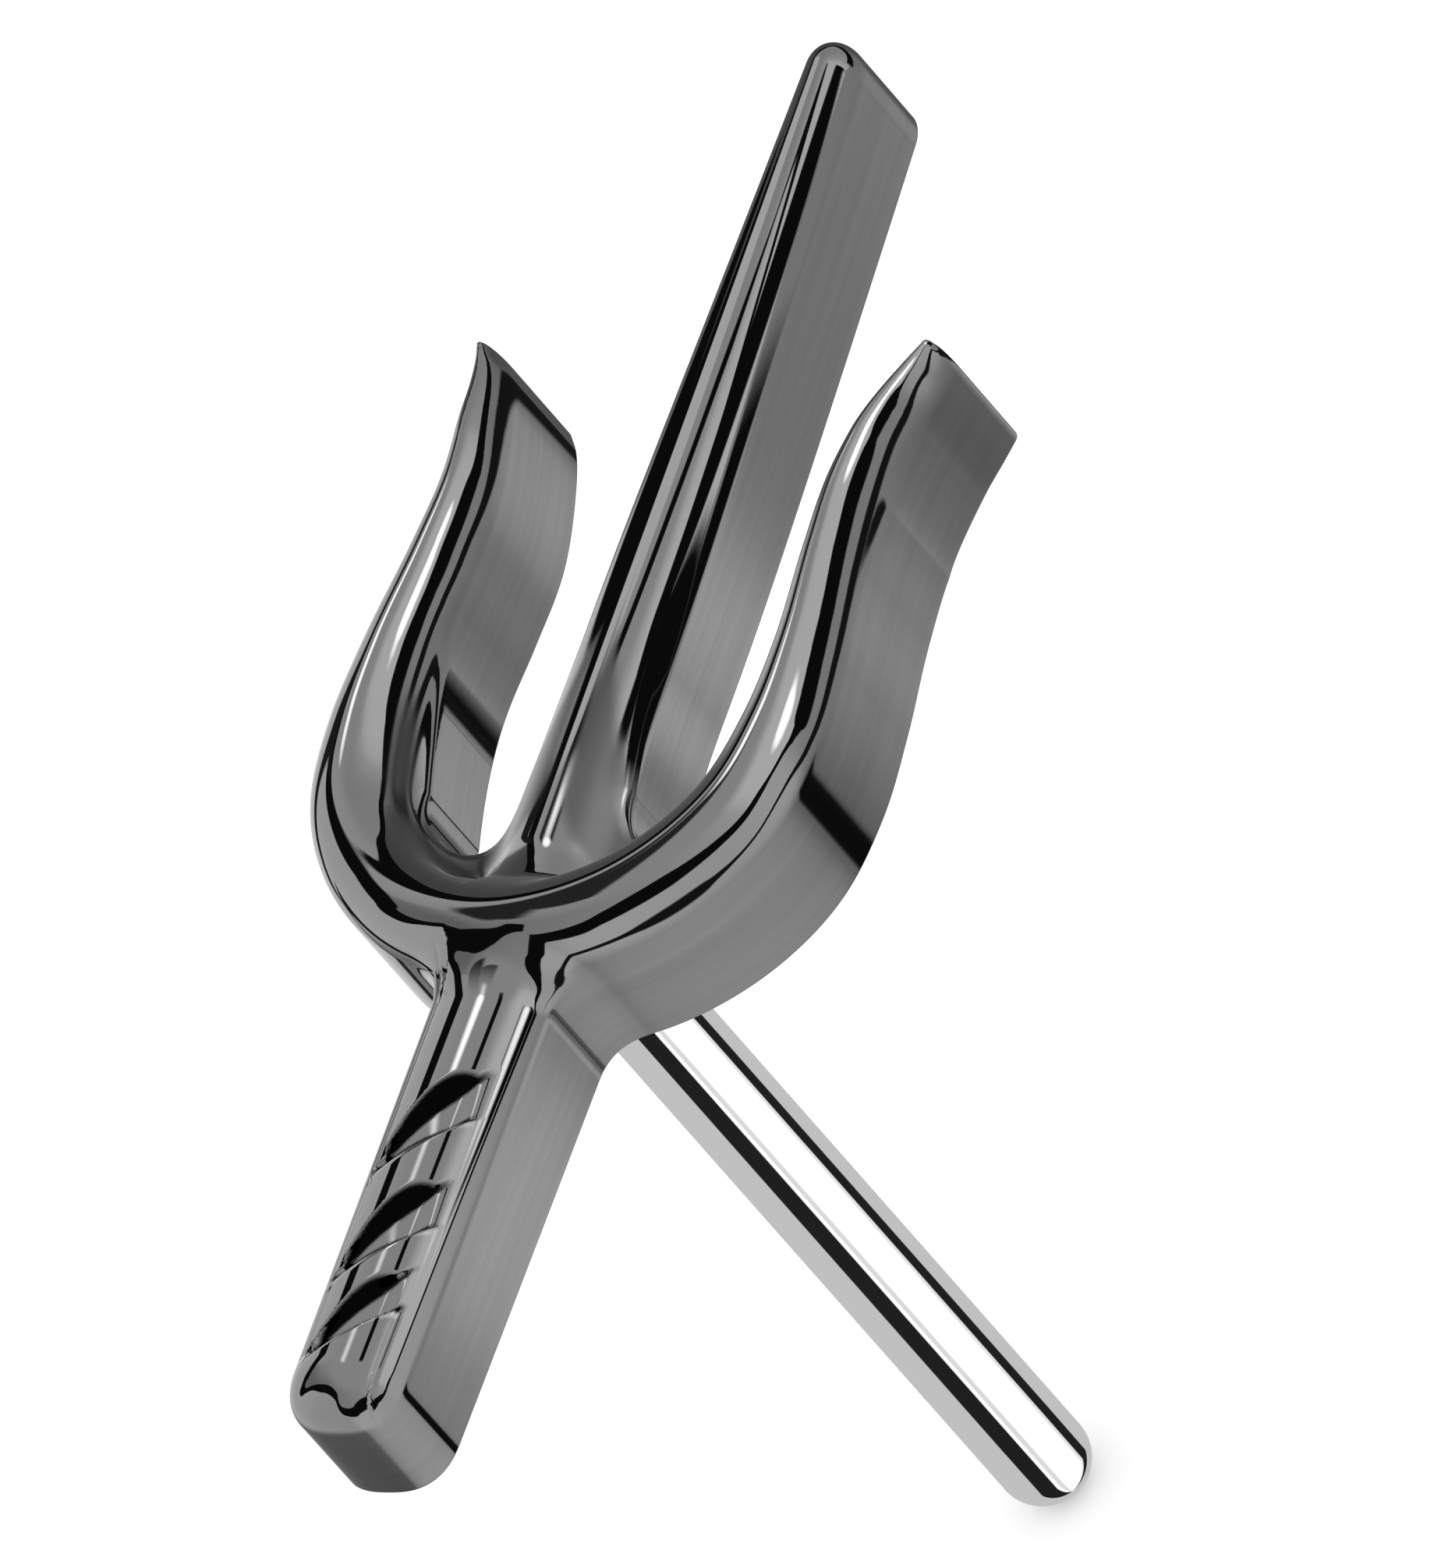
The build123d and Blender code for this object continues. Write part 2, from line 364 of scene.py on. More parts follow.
def outer_prong(x, y):
    """Plan ratio, half width, wall and rise of the two outer prongs and the arc."""
    ratio, half = prong_plan(x, y)
    fall = TIP_FALL * smoothstep(*TIP_FALL_SPAN, y)
    return ratio, half, PRONG_WALL - fall / 2, PRONG_CREST - PRONG_WALL - fall / 2


def centre_prong(x, y):
    """Plan ratio, half width, wall and rise of the centre prong."""
    past = np.clip(y, SPIKE_ROOT_Y, SPIKE_SHOULDER_Y) - TAPER_START
    half = SPIKE_ROOT_HALF - TAPER * (np.hypot(past, TAPER_EASE) + past) / 2
    beyond = np.maximum(y - SPIKE_SHOULDER_Y, 0) / (SPIKE_TIP_Y - SPIKE_SHOULDER_Y)
    before = np.maximum(SPIKE_ROOT_Y - y, 0) / half
    middle = -SPIKE_LEAN * np.maximum(y - LEAN_START, 0) ** 2
    ratio = np.sqrt(((x - middle) / half) ** 2 + beyond ** 2 + before ** 2)
    wall = SPIKE_WALL - SPIKE_SINK * np.exp(-np.maximum(y - SPIKE_ROOT_Y, 0) / SINK_LENGTH)
    return ratio, half, wall, SPIKE_RISE


def handle(x, y):
    """Plan ratio, half width, wall and rise of the handle, and the place across it (1 at its side)."""
    along = np.clip((y - HANDLE_TOP_Y) / (HANDLE_END_Y - HANDLE_TOP_Y), 0, 1)
    half = HANDLE_TOP_HALF + (HANDLE_END_HALF - HANDLE_TOP_HALF) * along
    beyond = np.maximum(HANDLE_END_Y + HANDLE_NOSE - y, 0) / HANDLE_NOSE
    before = np.maximum(y - HANDLE_TOP_Y, 0) / half
    side = np.abs(x) / half
    ratio = (side ** NOSE_POWER + beyond ** NOSE_POWER + before ** NOSE_POWER) ** (1 / NOSE_POWER)
    return (ratio, half, HANDLE_WALL, HANDLE_CREST - HANDLE_WALL), side


def web_plan(x, y):
    """Signed plan distance from the crotch webs, negative inside."""
    reach = np.hypot(np.abs(x) - WEB_X, np.minimum(y - WEB_Y, 0))
    gap = WEB_RADIUS + WEB_FLARE * np.maximum(y - WEB_Y, 0)
    return np.maximum(gap - reach, reach - WEB_REACH)


def crossing(start, curve, x):
    """y of a line that crosses the handle's middle at start."""
    slope, bend = curve
    return start + slope * x + bend * x * x


def drawn_line(distance, line):
    """Strength of a thin line at a distance from the edge that it follows."""
    offset, solid, faded, strength = line
    return strength * (1 - smoothstep(solid, faded, np.abs(distance - offset)))


def twist(x, y, side):
    """How far the twist sinks the handle's top at each plan point, and the dark and pale reflections painted
    there.
    """
    dip, painted_reflection = np.zeros_like(y), np.zeros_like(y)
    for start, length in GROOVES:
        brink = crossing(start, BRINK, x)
        fall = crossing(start - length * FALL_END, FALL_FOOT, x)
        leaf = crossing(start - length * LEAF_END, LEAF_EDGE, x)
        crest = crossing(start - length, NEXT_STRAND, x)
        brink = np.maximum(brink, fall + LEAST_FALL * length / GROOVES[0][1])
        fall = np.maximum(fall, leaf + LEAST_LEAF)
        sunk = FALL_SHARE * smoothstep(0, 1, (brink - y) / (brink - fall)) ** FALL_POWER
        sunk += (1 - FALL_SHARE) * np.clip((fall - y) / (fall - leaf), 0, 1)
        rise = np.clip((leaf - y) / (leaf - crest), 0, 1)
        dip += GROOVE_DEPTH * sunk * (1 - np.sin(pi / 2 * rise) ** RISE_POWER)
        # painted reflections: dark on the steep side, then dark and pale lines along the leaf and the next
        # strand
        painted_reflection += smoothstep(*PAINTED_DARK_BRINK, brink - y) * (1 - smoothstep(*PAINTED_DARK_FOOT, fall - y))
        painted_reflection += drawn_line(y - leaf, DARK_LINE) + drawn_line(y - leaf, PALE_LINE)
        painted_reflection += drawn_line(y - (leaf + 2 * crest) / 3, STRAND_LINE)
    return dip * (1 - smoothstep(*TWIST_FADE, side)), painted_reflection * (1 - smoothstep(*PAINTED_REFLECTION_FADE, side))


def plan_fields(x, y):
    """What the signed field needs at plan points: three limbs, the twist's dip and the webs."""
    grip, side = handle(x, y)
    return outer_prong(x, y), centre_prong(x, y), grip, twist(x, y, side)[0], web_plan(x, y)


def limb_field(plan, z, dip=0.0):
    """Signed field of one limb: upright walls with a half-elliptic top."""
    ratio, half, wall, rise = plan
    over = np.maximum(z + dip - wall, 0) / rise
    return (np.sqrt(ratio ** 2 + over ** 2) - 1) * half


def field(plans, z):
    """Signed field of the whole head at height z, negative inside. The back is left open."""
    prong, spike, grip, dip, web = plans
    body = smooth_min(limb_field(prong, z), limb_field(spike, z), CREASE_BLEND)
    filler = -smooth_min(-web, WEB_TOP - z, WEB_LIP)
    body = smooth_min(body, filler, WEB_BLEND)
    return smooth_min(body, limb_field(grip, z, dip), GRIP_BLEND)


def gradient(p, step=0.012):
    """Field and its slope at points, by central differences."""
    x, y, z = p.T
    here = plan_fields(x, y)
    right, left = plan_fields(x + step, y), plan_fields(x - step, y)
    fore, aft = plan_fields(x, y + step), plan_fields(x, y - step)
    slope = np.stack([
        field(right, z) - field(left, z),
        field(fore, z) - field(aft, z),
        field(here, z + step) - field(here, z - step),
    ], axis=1) / (2 * step)
    return field(here, z), slope


# ==== mesh of the head ===============================================================================
def graded(stops):
    """Grid lines through (place, spacing) stops, each spacing holding up to the next stop."""
    lines = [stops[0][0]]
    for (_, spacing), (end, _) in zip(stops, stops[1:]):
        count = max(1, round((end - lines[-1]) / spacing))
        lines += list(np.linspace(lines[-1], end, count + 1)[1:])
    return np.array(lines)


def grid_field(xs, ys, zs):
    """Signed field at every point of the grid."""
    gx, gy = np.meshgrid(xs, ys, indexing="ij")
    *limbs, dip, web = plan_fields(gx.ravel(), gy.ravel())
    tall = gx.shape + (1,)
    limbs = [
        tuple(part.reshape(tall) if isinstance(part, np.ndarray) else part for part in limb)
        for limb in limbs
    ]
    return field(limbs + [dip.reshape(tall), web.reshape(tall)], zs[None, None, :])


def surface_net():
    """Quad mesh of the head's outside: one vertex in each crossed cell, quads, and the lowest layer."""
    lines = graded(GRID_X), graded(GRID_Y), graded(GRID_Z)
    cells = tuple(len(line) - 1 for line in lines)
    value = grid_field(*lines)
    inside = value < 0
    total = np.zeros(cells + (3,))
    hits = np.zeros(cells)
    crossings = []
    for axis in range(3):
        near = [slice(None)] * 3
        far = [slice(None)] * 3
        near[axis], far[axis] = slice(0, -1), slice(1, None)
        cross = inside[tuple(near)] != inside[tuple(far)]
        corner = np.argwhere(cross)
        va, vb = value[tuple(near)][cross], value[tuple(far)][cross]
        point = np.stack([line[corner[:, k]] for k, line in enumerate(lines)], axis=1)
        width = lines[axis][corner[:, axis] + 1] - point[:, axis]
        point[:, axis] += width * va / (va - vb)
        ring = []
        for du, dv in ((0, 0), (1, 0), (1, 1), (0, 1)):
            cell = corner.copy()
            cell[:, (axis + 1) % 3] -= du
            cell[:, (axis + 2) % 3] -= dv
            ring.append(cell)
            ok = ((cell >= 0) & (cell < cells)).all(axis=1)
            np.add.at(total, tuple(cell[ok].T), point[ok])
            np.add.at(hits, tuple(cell[ok].T), 1)
        crossings.append((ring, va >= 0))
    used = hits > 0
    index = np.full(cells, -1)
    index[used] = np.arange(used.sum())
    quads = []
    for ring, enters in crossings:
        ok = np.all([((c >= 0) & (c < cells)).all(axis=1) for c in ring], axis=0)
        face = np.stack([index[tuple(c[ok].T)] for c in ring], axis=1)
        face[enters[ok]] = face[enters[ok]][:, ::-1]
        quads.append(face)
    lowest = np.argwhere(used)[:, 2] == 0
    return total[used] / hits[used][:, None], np.vstack(quads), lowest


def head_mesh():
    """The net drawn onto the true surface, with its normals; the lowest layer stays level."""
    verts, quads, rim = surface_net()
    for _ in range(PULL_ROUNDS):
        value, slope = gradient(verts)
        slope[rim, 2] = 0
        pull = value / np.maximum((slope ** 2).sum(axis=1), 1e-6)
        verts -= slope * pull[:, None].clip(-PULL_LIMIT, PULL_LIMIT)
    _, slope = gradient(verts)
    normals = slope / np.linalg.norm(slope, axis=1)[:, None]
    return verts, quads, normals, rim


def rim_loop(quads, rim):
    """The open edge at the back as one ordered ring of vertex numbers."""
    following = {}
    for quad in quads[rim[quads].any(axis=1)]:
        for a, b in zip(quad, np.roll(quad, -1)):
            if rim[a] and rim[b]:
                following[int(a)] = following.get(int(a), []) + [int(b)]
    pairs = {a: [b for b in bs if a not in following.get(b, [])] for a, bs in following.items()}
    start = next(a for a, bs in pairs.items() if bs)
    ring = [start]
    while True:
        step = pairs[ring[-1]][0]
        if step == start:
            return ring
        ring.append(step)


def add_mesh(name, verts, faces, normals=None):
    """Mesh object from millimetre points."""
    mesh = bpy.data.meshes.new(name)
    mesh.from_pydata((np.asarray(verts) * MM).tolist(), [], [list(f) for f in faces])
    mesh.polygons.foreach_set("use_smooth", [True] * len(mesh.polygons))
    if normals is not None:
        mesh.normals_split_custom_set_from_vertices(np.asarray(normals).tolist())
    obj = bpy.data.objects.new(name, mesh)
    bpy.context.scene.collection.objects.link(obj)
    return obj


def strip(upper, lower):
    """Quads between two closed rings of vertex numbers."""
    return [
        (upper[i - len(upper) + 1], upper[i], lower[i], lower[i - len(lower) + 1])
        for i in range(len(upper))
    ]


def paint(head, points):
    """Mesh attributes: painted reflections on the twist, and the recess of the crotch webs, which gets
    painted shade and more roughness.
    """
    x, y, z = points.T
    # painted reflections on the twist, kept to the handle's top
    painted_reflection = twist(x, y, np.abs(x) / HANDLE_TOP_HALF)[1] * (z > HANDLE_WALL)
    # recess: where the crotch webs get painted shade and more roughness
    recess = (1 - smoothstep(*RECESS_EDGE, web_plan(x, y))) * smoothstep(*RECESS_FLOOR, z)
    recess *= 1 - smoothstep(*RECESS_CEILING, z)
    for label, values in (("painted_reflection", painted_reflection), ("recess", recess)):
        layer = head.data.attributes.new(label, "FLOAT", "POINT")
        layer.data.foreach_set("value", values.astype(np.float32))


def trident_head():
    """The casting: net of the outside, upright walls, a rolled back edge and one flat back face."""
    verts, quads, normals, rim = head_mesh()
    ring = rim_loop(quads, rim)
    points, shading, faces = [verts], [normals], [tuple(q) for q in quads]
    edge, out = verts[ring], normals[ring] * [1, 1, 0]
    rows = [(height, 0.0) for height in np.linspace(NET_FLOOR, BACK_EDGE, WALL_ROWS + 1)[1:]]
    rows += [(BACK_EDGE * (1 - sin(turn)), turn) for turn in BACK_EDGE_TURNS]
    last, count = ring, len(verts)
    for height, turn in rows:
        layer = edge - out * BACK_EDGE * (1 - cos(turn))
        layer[:, 2] = height
        tilt = out * cos(turn)
        tilt[:, 2] = -sin(turn)
        points.append(layer)
        shading.append(tilt)
        new = range(count, count + len(ring))
        faces += strip(last, new)
        last, count = new, count + len(ring)
    faces.append(tuple(last))
    points = np.vstack(points)
    head = add_mesh("trident_head_cast", points, faces, np.vstack(shading))
    paint(head, points)
    return head


def ear_post():
    """Turned wire with a hemispherical free end, sharing the CAD post's axis and length."""
    low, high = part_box("ear_post")
    radius = (high.x - low.x) / 2 / MM
    end = low.z / MM
    turns = np.linspace(0, pi / 2, POST_END_ROWS + 1)[1:-1]
    profile = [(radius, POST_TOP), (radius, 0.0)]
    profile += [(radius, z) for z in np.linspace(POST_FIRST_ROW, end + radius, POST_ROWS)]
    profile += [(radius * cos(t), end + radius - radius * sin(t)) for t in turns]
    bearings = [2 * pi * k / POST_SIDES for k in range(POST_SIDES)]
    verts = [(r * cos(a), r * sin(a), z) for r, z in profile for a in bearings]
    rings = [range(i * POST_SIDES, (i + 1) * POST_SIDES) for i in range(len(profile))]
    faces = []
    for upper, lower in zip(rings, rings[1:]):
        faces += strip(upper, lower)
    tip, top = len(verts), len(verts) + 1
    verts += [(0, 0, end), (0, 0, POST_TOP)]
    for k in range(POST_SIDES):
        j = (k + 1) % POST_SIDES
        faces.append((rings[-1][j], rings[-1][k], tip))
        faces.append((k, j, top))
    return add_mesh("ear_post_turned", verts, faces)


# ==== shader arithmetic ==============================================================================
class Value:
    """A shader number that writes itself as Math nodes."""

    def __init__(self, tree, socket):
        self.tree, self.socket = tree, socket

    def _math(self, operation, *others):
        node = self.tree.nodes.new("ShaderNodeMath")
        node.operation = operation
        for slot, item in zip(node.inputs, (self,) + others):
            if isinstance(item, Value):
                self.tree.links.new(item.socket, slot)
            else:
                slot.default_value = item
        return Value(self.tree, node.outputs[0])

    def __add__(self, other):
        return self._math("ADD", other)

    def __sub__(self, other):
        return self._math("SUBTRACT", other)

    def __mul__(self, other):
        return self._math("MULTIPLY", other)

    def __truediv__(self, other):
        return self._math("DIVIDE", other)

    def power(self, other):
        return self._math("POWER", other)

    def absolute(self):
        return self._math("ABSOLUTE")

    def larger(self, other):
        return self._math("MAXIMUM", other)

    def angle_from(self, other):
        return self._math("ARCTAN2", other)

    def arcsine(self):
        return self._math("ARCSINE")

    def rest(self):
        """What is left of 1."""
        return self * -1 + 1

    def rise(self, low, high):
        """0 below low, 1 above high, smooth between."""
        node = self.tree.nodes.new("ShaderNodeMapRange")
        node.interpolation_type = "SMOOTHSTEP"
        self.tree.links.new(self.socket, node.inputs["Value"])
        node.inputs["From Min"].default_value = low
        node.inputs["From Max"].default_value = high
        return Value(self.tree, node.outputs["Result"])

    def drop(self, low, high):
        """1 below low, 0 above high, smooth between."""
        return self.rise(low, high).rest()

    def window(self, low, high, soft):
        """1 between low and high, with soft edges."""
        return self.rise(low - soft, low + soft) * self.drop(high - soft, high + soft)


def blend_to(base, gate, level):
    """base where gate is 0, level where gate is 1."""
    return base * gate.rest() + gate * level


def along_azimuth(azimuth, points, span):
    """Smooth curve through (azimuth, value) points; the values lie within the span."""
    low, high = span
    node = azimuth.tree.nodes.new("ShaderNodeFloatCurve")
    curve = node.mapping.curves[0]
    scaled = [((az + 180) / 360, (value - low) / (high - low)) for az, value in points]
    curve.points[0].location, curve.points[-1].location = scaled[0], scaled[-1]
    for place in scaled[1:-1]:
        curve.points.new(*place)
    node.mapping.update()
    share = (azimuth + 180) / 360
    azimuth.tree.links.new(share.socket, node.inputs["Value"])
    return Value(azimuth.tree, node.outputs[0]) * (high - low) + low


def oval(azimuth, height, place):
    """1 inside an oval, 0 outside, with a soft rim."""
    middle_azimuth, half_azimuth, middle_height, half_height = place
    spread = ((azimuth - middle_azimuth) / half_azimuth).power(2)
    spread = spread + ((height - middle_height) / half_height).power(2)
    return spread.drop(*OVAL_EDGE)


def split_xyz(tree, socket):
    """The three numbers of a vector."""
    node = tree.nodes.new("ShaderNodeSeparateXYZ")
    tree.links.new(socket, node.inputs[0])
    return [Value(tree, output) for output in node.outputs]


def direction(tree):
    """Unit direction from the origin to the shaded point, with azimuth and height in degrees."""
    where = tree.nodes.new("ShaderNodeNewGeometry")
    unit = tree.nodes.new("ShaderNodeVectorMath")
    unit.operation = "NORMALIZE"
    tree.links.new(where.outputs["Position"], unit.inputs[0])
    x, y, z = split_xyz(tree, unit.outputs[0])
    azimuth, height = y.angle_from(x) * (180 / pi), z.arcsine() * (180 / pi)
    return SimpleNamespace(x=x, y=y, z=z, azimuth=azimuth, height=height)


def reflecting_place(tree):
    """Where on the head a reflected ray left from, in mm, and which limb that is."""
    hit = tree.nodes.new("ShaderNodeNewGeometry")
    path = tree.nodes.new("ShaderNodeLightPath")
    back = tree.nodes.new("ShaderNodeVectorMath")
    back.operation = "SCALE"
    start = tree.nodes.new("ShaderNodeVectorMath")
    tree.links.new(hit.outputs["Incoming"], back.inputs[0])
    tree.links.new(path.outputs["Ray Length"], back.inputs["Scale"])
    tree.links.new(back.outputs[0], start.inputs[0])
    tree.links.new(hit.outputs["Position"], start.inputs[1])
    x, y = (part * (1 / MM) for part in split_xyz(tree, start.outputs[0])[:2])
    middle = x.absolute().drop(*MIDDLE_LIMB)
    spike = middle * y.rise(*SPIKE_BEGINS)
    grip = middle * y.drop(*GRIP_BEGINS)
    arms = (spike + grip).rest()
    return SimpleNamespace(x=x, y=y, spike=spike, grip=grip, arms=arms, left=x.drop(*LEFT_HALF))


# ==== surroundings ====================================================================================
def ring_light(to, at):
    """Cards low down, with the black bars of the upright walls and the thin streak."""
    low = along_azimuth(to.azimuth, LOW_RING, LIGHT_RANGE)
    low = low + (along_azimuth(to.azimuth, LOW_RING_ARMS, LIGHT_RANGE) - low) * at.arms
    high = along_azimuth(to.azimuth, HIGH_RING, LIGHT_RANGE)
    light = blend_to(low, to.height.rise(*RING_TURN), high)
    bars = to.azimuth.window(*RIGHT_BAR) * at.arms * at.y.drop(*RIGHT_BAR_END)
    bars = bars.larger(to.azimuth.window(*LEFT_BAR) * at.left * at.arms * at.y.window(*LEFT_BAR_SPAN))
    bars = bars.larger(to.azimuth.window(*HANDLE_BAR) * at.grip)
    light = blend_to(light, bars * to.height.drop(*BAR_TOP), DARK)
    streak = (to.height - along_azimuth(to.azimuth, STREAK_HEIGHT, ANGLE_RANGE)).absolute()
    streak = streak / along_azimuth(to.azimuth, STREAK_HALF, HALF_RANGE)
    return blend_to(light, streak.drop(*STREAK_EDGE) * at.arms, STREAK_LIGHT)


def sky_light(to, at):
    """Pale sky with overhead flags, and the cards along the tops of the centre prong and handle."""
    low = along_azimuth(to.azimuth, LOW_SKY, LIGHT_RANGE)
    light = blend_to(low, to.height.rise(*SKY_TURN), HIGH_SKY)
    light = blend_to(light, oval(to.azimuth, to.height, SPIKE_CARD) * at.spike, SPIKE_CARD_LIGHT)
    west = to.x.drop(*WEST_FLAG) * to.height.rise(*WEST_FLAG_BOTTOM)
    top = to.x.drop(*TOP_FLAG) * to.height.rise(*TOP_FLAG_BOTTOM) * at.arms
    light = blend_to(light, west.larger(top) * at.grip.rest(), OVERHEAD_LIGHT)
    arch = (to.height - along_azimuth(to.azimuth, ARCH_HEIGHT, ARCH_RANGE)).absolute().drop(*ARCH_EDGE)
    light = blend_to(light, arch * at.spike, DARK)
    slit = to.x.window(*SLIT) * to.height.rise(*SLIT_BOTTOM) * to.y.rise(*SLIT_AHEAD)
    light = blend_to(light, slit * at.grip, DARK)
    gleam = to.x.window(*GLEAM) * to.y.window(*GLEAM_AHEAD) * to.height.rise(*GLEAM_BOTTOM)
    return blend_to(light, gleam * at.grip, GLEAM_LIGHT)


def spike_flags(to, at):
    """Black flags seen along both sides and the right foot of the centre prong."""
    right = oval(to.azimuth + to.height * RIGHT_FLAG_TILT, to.height, RIGHT_FLAG)
    left = oval(to.azimuth + to.height * LEFT_FLAG_TILT, to.height, LEFT_FLAG)
    edge = to.azimuth.window(*EDGE_FLAG) * to.height.window(*EDGE_FLAG_SPAN)
    foot = to.azimuth.window(*FOOT_FLAG) * to.height.window(*FOOT_FLAG_SPAN) * at.x.rise(*FOOT_FLAG_X)
    return right.larger(left).larger(edge).larger(foot) * at.spike


def head_tent_light(tree):
    """Ring below, wavy dark ribbon round the horizon, pale sky, and black flags for each limb."""
    to, at = direction(tree), reflecting_place(tree)
    above = to.height - along_azimuth(to.azimuth, RIBBON_HEIGHT, ANGLE_RANGE)
    light = blend_to(ring_light(to, at), above.rise(*HORIZON_EDGE), sky_light(to, at))
    ribbon = (above.absolute() / along_azimuth(to.azimuth, RIBBON_HALF, HALF_RANGE)).drop(*RIBBON_EDGE)
    gap = to.azimuth.window(*RIBBON_GAP) * at.spike
    light = blend_to(light, ribbon * gap.rest(), DARK)
    slant = (to.azimuth + to.height * SLANT_TILT - SLANT_AZIMUTH).absolute().drop(*SLANT_EDGE)
    light = blend_to(light, slant * to.height.window(*SLANT_SPAN) * at.arms, SLANT_LIGHT)
    light = blend_to(light, spike_flags(to, at), DARK)
    light = blend_to(light, oval(to.azimuth, to.height, HANDLE_FLAG) * at.grip, DARK)
    for aim, inner, outer, level in LIGHTS:
        aim = Vector(aim).normalized()
        toward = to.x * aim.x + to.y * aim.y + to.z * aim.z
        patch = toward.rise(cos(radians(outer)), cos(radians(inner)))
        light = light + patch * at.spike.rest() * level
    return light


def post_tent_light(tree):
    """Grey all round, with white cards and dark bars that differ low down and near the horizon."""
    to = direction(tree)
    rings = []
    for ring in (POST_RING, POST_HIGH_RING):
        light = to.azimuth * 0 + POST_GREY
        for low, high, level in ring:
            light = blend_to(light, to.azimuth.window(low, high, POST_CARD_SOFTNESS), level)
        rings.append(light)
    return blend_to(rings[0], to.height.rise(*POST_RING_TURN), rings[1])


# ==== materials =======================================================================================
def new_material(name, shader_type):
    """Material with one shader wired to its output."""
    material = bpy.data.materials.new(name)
    material.use_nodes = True
    tree = material.node_tree
    tree.nodes.clear()
    shader = tree.nodes.new(shader_type)
    output = tree.nodes.new("ShaderNodeOutputMaterial")
    tree.links.new(shader.outputs[0], output.inputs["Surface"])
    return material, tree, shader


def new_metal(name):
    """Material with a metallic surface."""
    material, tree, shader = new_material(name, "ShaderNodeBsdfPrincipled")
    shader.inputs["Metallic"].default_value = 1.0
    return material, tree, shader


def painted(tree, label):
    """Value of a mesh attribute."""
    node = tree.nodes.new("ShaderNodeAttribute")
    node.attribute_name = label
    return Value(tree, node.outputs["Fac"])


def object_noise(tree, scale, detail):
    """Noise in the object's own coordinates, stretched by a scale per metre along each axis."""
    coords = tree.nodes.new("ShaderNodeTexCoord")
    stretch = tree.nodes.new("ShaderNodeMapping")
    stretch.inputs["Scale"].default_value = scale
    noise = tree.nodes.new("ShaderNodeTexNoise")
    noise.inputs["Scale"].default_value = 1.0
    noise.inputs["Detail"].default_value = detail
    tree.links.new(coords.outputs["Object"], stretch.inputs["Vector"])
    tree.links.new(stretch.outputs[0], noise.inputs["Vector"])
    return Value(tree, noise.outputs["Fac"])


def set_tone(shader, shade, rough, tint=(1, 1, 1)):
    """Give a metal a tinted grey and a roughness."""
    tree = shade.tree
    colour = tree.nodes.new("ShaderNodeCombineColor")
    for slot, share in zip(colour.inputs, tint):
        tree.links.new((shade * share).socket, slot)
    tree.links.new(colour.outputs[0], shader.inputs["Base Color"])
    tree.links.new(rough.socket, shader.inputs["Roughness"])


def dark_metal():
    """Dark polished plating with a faint brushed grain along the upright sides, painted reflections on the
    twist and painted shade in the crotch webs.
    """
    material, tree, shader = new_metal("dark_metal")
    surface = tree.nodes.new("ShaderNodeNewGeometry")
    upright = split_xyz(tree, surface.outputs["Normal"])[2].absolute().drop(*UPRIGHT)
    grain = object_noise(tree, GRAIN_SCALE, GRAIN_DETAIL)
    painted_reflection, recess = painted(tree, "painted_reflection"), painted(tree, "recess")
    shade = (grain - 0.5) * upright * GRAIN_CONTRAST + METAL_GREY
    # painted reflections on the twist, and painted shade in the crotch webs
    shade = blend_to(shade, painted_reflection, PAINTED_DARK_GREY) * (recess * -RECESS_PAINTED_SHADE + 1)
    rough = upright * SATIN + recess * RECESS_HAZE + POLISH
    set_tone(shader, shade, rough, METAL_TINT)
    return material


def bright_wire():
    """Mirror-polished light metal."""
    material, _, shader = new_metal("bright_wire")
    shader.inputs["Base Color"].default_value = WIRE_COLOUR
    shader.inputs["Roughness"].default_value = WIRE_POLISH
    return material


def solder_grey():
    """Dull grey solder with soft mottling."""
    material, tree, shader = new_metal("solder_grey")
    mottle = object_noise(tree, SOLDER_SCALE, SOLDER_DETAIL)
    shade = mottle * SOLDER_MOTTLE + SOLDER_GREY
    set_tone(shader, shade, mottle * SOLDER_ROUGH_MOTTLE + SOLDER_ROUGH)
    return material


def pale_floor():
    """Matte, nearly white."""
    material, _, shader = new_material("pale_floor", "ShaderNodeBsdfDiffuse")
    shader.inputs["Color"].default_value = FLOOR_COLOUR
    return material


def glow(name, pattern):
    """Light that follows a pattern."""
    material, tree, shader = new_material(name, "ShaderNodeEmission")
    material.cycles.emission_sampling = "NONE"
    tree.links.new(pattern(tree).socket, shader.inputs["Strength"])
    return material


def clear_glow(name, pattern):
    """Light that follows a pattern and lets rays through to what is behind it."""
    material, tree, both = new_material(name, "ShaderNodeAddShader")
    material.cycles.emission_sampling = "NONE"
    emission = tree.nodes.new("ShaderNodeEmission")
    through = tree.nodes.new("ShaderNodeBsdfTransparent")
    tree.links.new(pattern(tree).socket, emission.inputs["Strength"])
    tree.links.new(emission.outputs[0], both.inputs[0])
    tree.links.new(through.outputs[0], both.inputs[1])
    return material


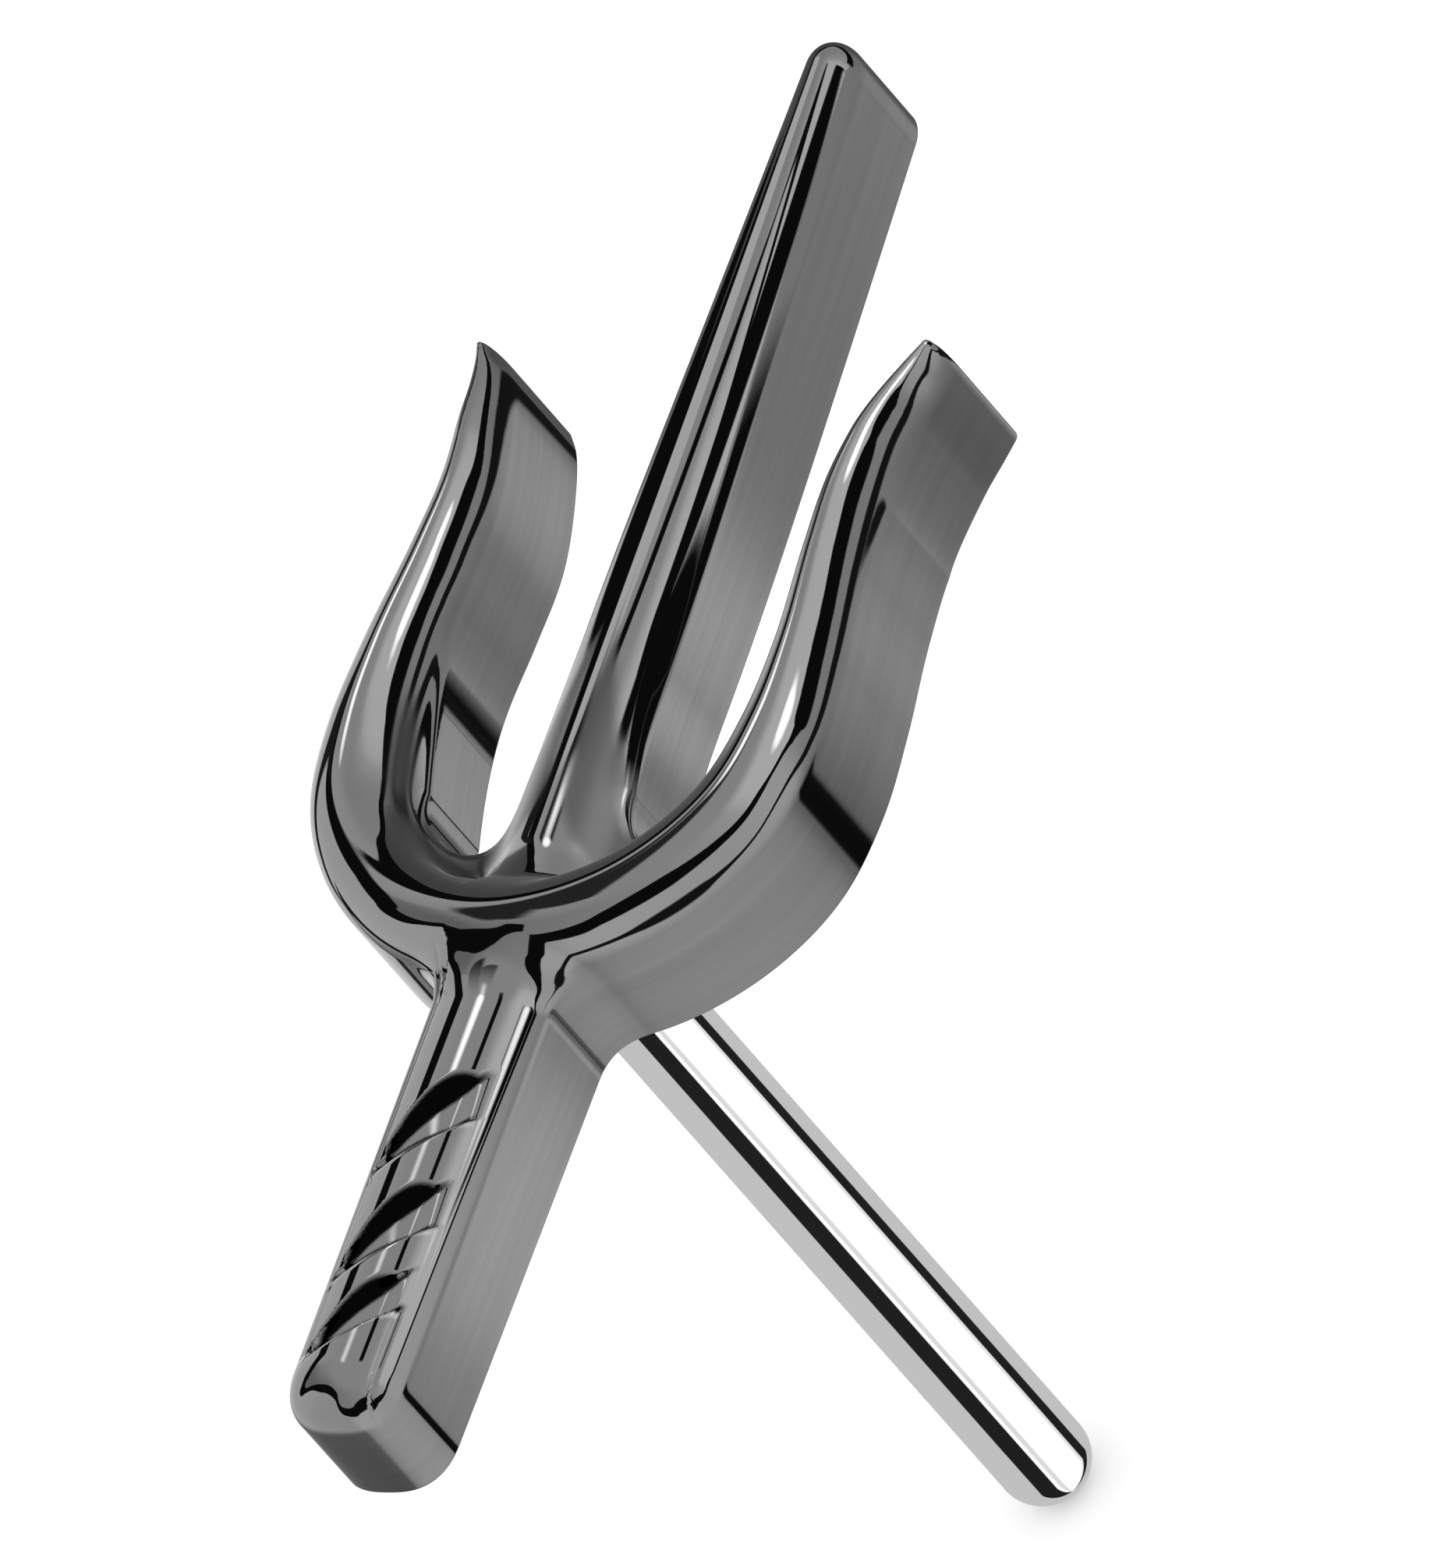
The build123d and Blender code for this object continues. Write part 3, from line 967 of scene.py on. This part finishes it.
# ==== stage ===========================================================================================
def light_tent(name, radius, material, lit):
    """Glowing sphere round the object, seen only in the reflections on one piece."""
    bpy.ops.mesh.primitive_uv_sphere_add(segments=TENT_SEGMENTS, ring_count=TENT_RINGS, radius=radius * MM)
    tent = bpy.context.object
    tent.name = name
    tent.data.materials.append(material)
    tent.visible_camera = False
    tent.visible_diffuse = False
    tent.visible_shadow = False
    receivers = bpy.data.collections.new(name + "_receivers")
    receivers.objects.link(lit)
    tent.light_linking.receiver_collection = receivers


def floor():
    """Plain pale floor under the tip of the post."""
    low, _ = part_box("ear_post")
    bpy.ops.mesh.primitive_plane_add(size=FLOOR_SIZE, location=(0, 0, low.z))
    plane = bpy.context.object
    plane.name = "floor"
    plane.data.materials.append(pale_floor())
    plane.visible_glossy = False


def world():
    """Even white surround that lights the floor."""
    surround = bpy.data.worlds.new("surround")
    surround.use_nodes = True
    sky = surround.node_tree.nodes["Background"]
    sky.inputs["Color"].default_value = (1, 1, 1, 1)
    sky.inputs["Strength"].default_value = WORLD_STRENGTH
    bpy.context.scene.world = surround


def camera():
    """Very long lens at the photo's angle."""
    data = bpy.data.cameras.new("camera")
    data.lens = LENS
    data.clip_start, data.clip_end = CLIP_RANGE
    cam = bpy.data.objects.new("camera", data)
    bpy.context.scene.collection.objects.link(cam)
    right = CAMERA_RIGHT.normalized()
    back = right.cross(CAMERA_UP).normalized()
    up = back.cross(right)
    far = FRAME_HEIGHT * MM * data.lens / data.sensor_width
    aim = (right * FRAME_SHIFT[0] + up * FRAME_SHIFT[1]) * MM
    turn = Matrix((right, up, back)).transposed().to_4x4()
    cam.matrix_world = Matrix.Translation(aim + back * far) @ turn
    bpy.context.scene.camera = cam


def stand_for(obj, node, material):
    """Give a piece its material and let it stand for a CAD node."""
    obj.data.materials.append(material)
    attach(obj, "root")
    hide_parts(node)
    return obj


head = stand_for(trident_head(), "trident_head", dark_metal())
head.visible_glossy = False
post = stand_for(ear_post(), "ear_post", bright_wire())
for place in bpy.data.objects["solder_film"].material_slots:
    place.material = solder_grey()

light_tent("head_tent", HEAD_TENT_RADIUS, glow("head_tent", head_tent_light), head)
light_tent("post_tent", POST_TENT_RADIUS, clear_glow("post_tent", post_tent_light), post)
floor()
world()
camera()
bpy.context.scene.view_settings.view_transform = "Standard"
